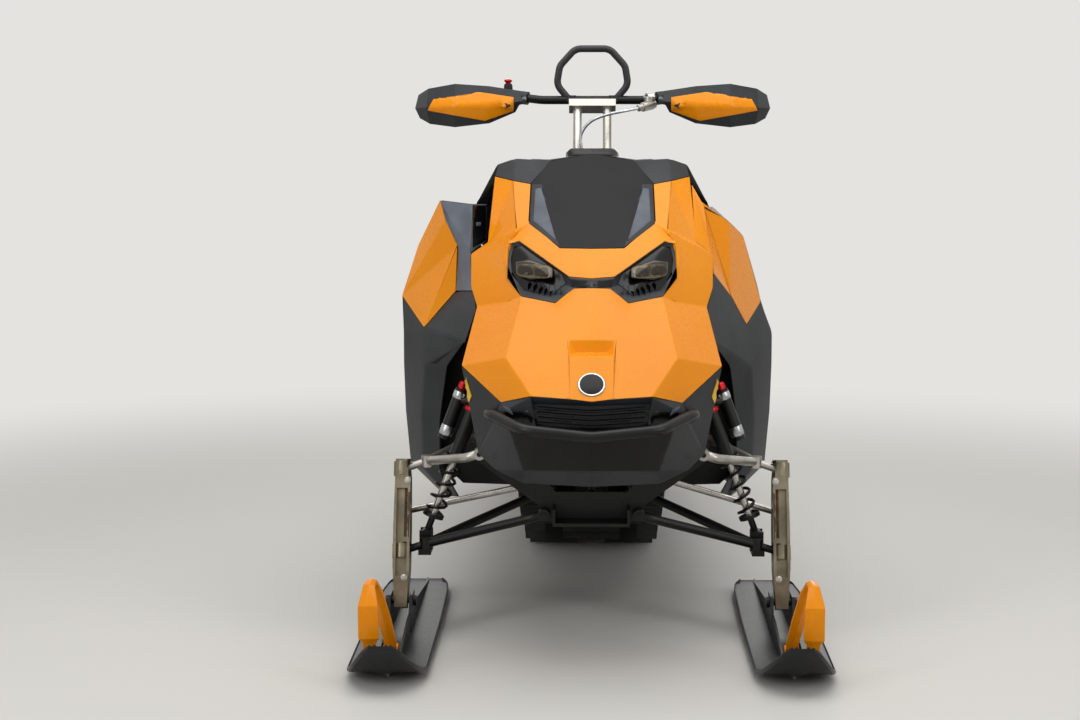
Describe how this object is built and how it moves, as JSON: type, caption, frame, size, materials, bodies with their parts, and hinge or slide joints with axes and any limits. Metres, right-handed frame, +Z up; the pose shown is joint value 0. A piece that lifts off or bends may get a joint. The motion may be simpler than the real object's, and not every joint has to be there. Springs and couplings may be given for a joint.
{
  "type": "snowmobile",
  "caption": "Mountain snowmobile with steering skis, trailing-link ski pivots and a long lugged track under a folded tunnel.",
  "frame": {"origin": "On the floor, under the middle of the bounding box.", "axes": "+Z up, -Y to the front where the skis point, +X to the left of the rider."},
  "size_m": [1.094, 3.2, 1.423],
  "materials": {
    "bar_black": "black anodised tube",
    "black_plastic": "grained moulding",
    "black_steel": "black powder coat",
    "column_alloy": "forged risers with a satin finish",
    "control_plastic": "moulded housings",
    "engine_alloy": "as cast",
    "flap_rubber": "moulded flexible sheet",
    "forged_alloy": "forged, with a bronze-grey coat",
    "frame_aluminium": "dark anodised castings and tubes",
    "grey_plastic": "grained moulding",
    "grip_rubber": "ribbed soft rubber",
    "guard_plastic": "orange moulding with a grey shield",
    "idler_plastic": "moulded wheels with rubber rims on a steel shaft",
    "lamp_lens": "smoked clear lens over a dark reflector",
    "matte_black_plastic": "fine grained moulding",
    "orange_plastic": "through-coloured glossy moulding",
    "rail_aluminium": "extruded and anodised",
    "red_lens": "clear red moulded lens",
    "rod_alloy": "plain drawn rod",
    "rubber_track": "moulded rubber with a dull skin",
    "runner_steel": "bare hardened steel",
    "seat_cover": "coated seat cloth over foam",
    "shock_alloy": "anodised body, bright shaft, black spring",
    "silver_arm": "silver paint on steel tube",
    "ski_plastic": "moulded polyethylene",
    "slider_plastic": "low-friction polyethylene",
    "strap_web": "moulded grab loop",
    "tunnel_aluminium": "black powder coat on aluminium sheet"
  },
  "bodies": {
    "chassis": {"bulkhead": "frame_aluminium", "carrier_wheels": "idler_plastic", "dash_console": "grey_plastic", "drive_axle": "idler_plastic", "engine_block": "engine_alloy", "front_bumper": "black_steel", "front_shocks": "shock_alloy", "front_swing_arm": "black_steel", "fuel_tank": "black_plastic", "headlights": "lamp_lens", "hood": "orange_plastic", "lower_arms": "black_steel", "nose_cowl": "black_plastic", "rail_sliders": "slider_plastic", "rails": "rail_aluminium", "rear_axle_wheels": "idler_plastic", "rear_bumper": "black_steel", "rear_swing_arm": "black_steel", "running_boards": "tunnel_aluminium", "seat": "seat_cover", "side_panels": "grey_plastic", "skid_shocks": "shock_alloy", "snow_flap": "flap_rubber", "tail_light": "red_lens", "track": "rubber_track", "tunnel": "tunnel_aluminium", "upper_arms": "silver_arm", "upper_frame": "frame_aluminium", "windshield": "matte_black_plastic"},
    "steering": {"grab_strap": "strap_web", "grips": "grip_rubber", "hand_controls": "control_plastic", "hand_guards": "guard_plastic", "handlebar": "bar_black", "steering_column": "column_alloy"},
    "crank": {"steering_crank": "frame_aluminium"},
    "spindle_left": {"spindle_left": "forged_alloy"},
    "spindle_right": {"spindle_right": "forged_alloy"},
    "tie_rod_left": {"tie_rod_left": "rod_alloy"},
    "tie_rod_right": {"tie_rod_right": "rod_alloy"},
    "ski_assembly_left": {"ski_left": "ski_plastic", "ski_loop_left": "orange_plastic", "ski_runner_left": "runner_steel"},
    "ski_assembly_right": {"ski_loop_right": "orange_plastic", "ski_right": "ski_plastic", "ski_runner_right": "runner_steel"}
  },
  "joints": [
    {"name": "steering_turn", "type": "hinge", "parent": "chassis", "child": "steering", "pos_m": [0, -0.985, 0.482], "axis": [0, 0.5061, 0.8625], "range_deg": [-28, 28]},
    {"name": "crank_turn", "type": "hinge", "parent": "chassis", "child": "crank", "pos_m": [0, -1.003, 0.424], "axis": [0, 0.309, 0.9511], "range_deg": [-28, 28]},
    {"name": "spindle_left_turn", "type": "hinge", "parent": "chassis", "child": "spindle_left", "pos_m": [0.455, -1.03, 0.204], "axis": [0, 0.309, 0.9511], "range_deg": [-28, 28]},
    {"name": "tie_rod_left_swing", "type": "hinge", "parent": "spindle_left", "child": "tie_rod_left", "pos_m": [0.455, -0.91579, 0.28045], "axis": [0, 0.309, 0.9511], "range_deg": [-28, 28]},
    {"name": "ski_left_pivot", "type": "hinge", "parent": "spindle_left", "child": "ski_assembly_left", "pos_m": [0.455, -1.06646, 0.09177], "axis": [1, 0, 0], "range_deg": [-15, 12]},
    {"name": "spindle_right_turn", "type": "hinge", "parent": "chassis", "child": "spindle_right", "pos_m": [-0.455, -1.03, 0.204], "axis": [0, 0.309, 0.9511], "range_deg": [-28, 28]},
    {"name": "tie_rod_right_swing", "type": "hinge", "parent": "spindle_right", "child": "tie_rod_right", "pos_m": [-0.455, -0.91579, 0.28045], "axis": [0, 0.309, 0.9511], "range_deg": [-28, 28]},
    {"name": "ski_right_pivot", "type": "hinge", "parent": "spindle_right", "child": "ski_assembly_right", "pos_m": [-0.455, -1.06646, 0.09177], "axis": [1, 0, 0], "range_deg": [-15, 12]}
  ],
  "couplings": [
    {"joint": "crank_turn", "follows": "steering_turn", "ratio": 1},
    {"joint": "spindle_left_turn", "follows": "steering_turn", "ratio": 1},
    {"joint": "tie_rod_left_swing", "follows": "steering_turn", "ratio": -1},
    {"joint": "spindle_right_turn", "follows": "steering_turn", "ratio": 1},
    {"joint": "tie_rod_right_swing", "follows": "steering_turn", "ratio": -1}
  ]
}
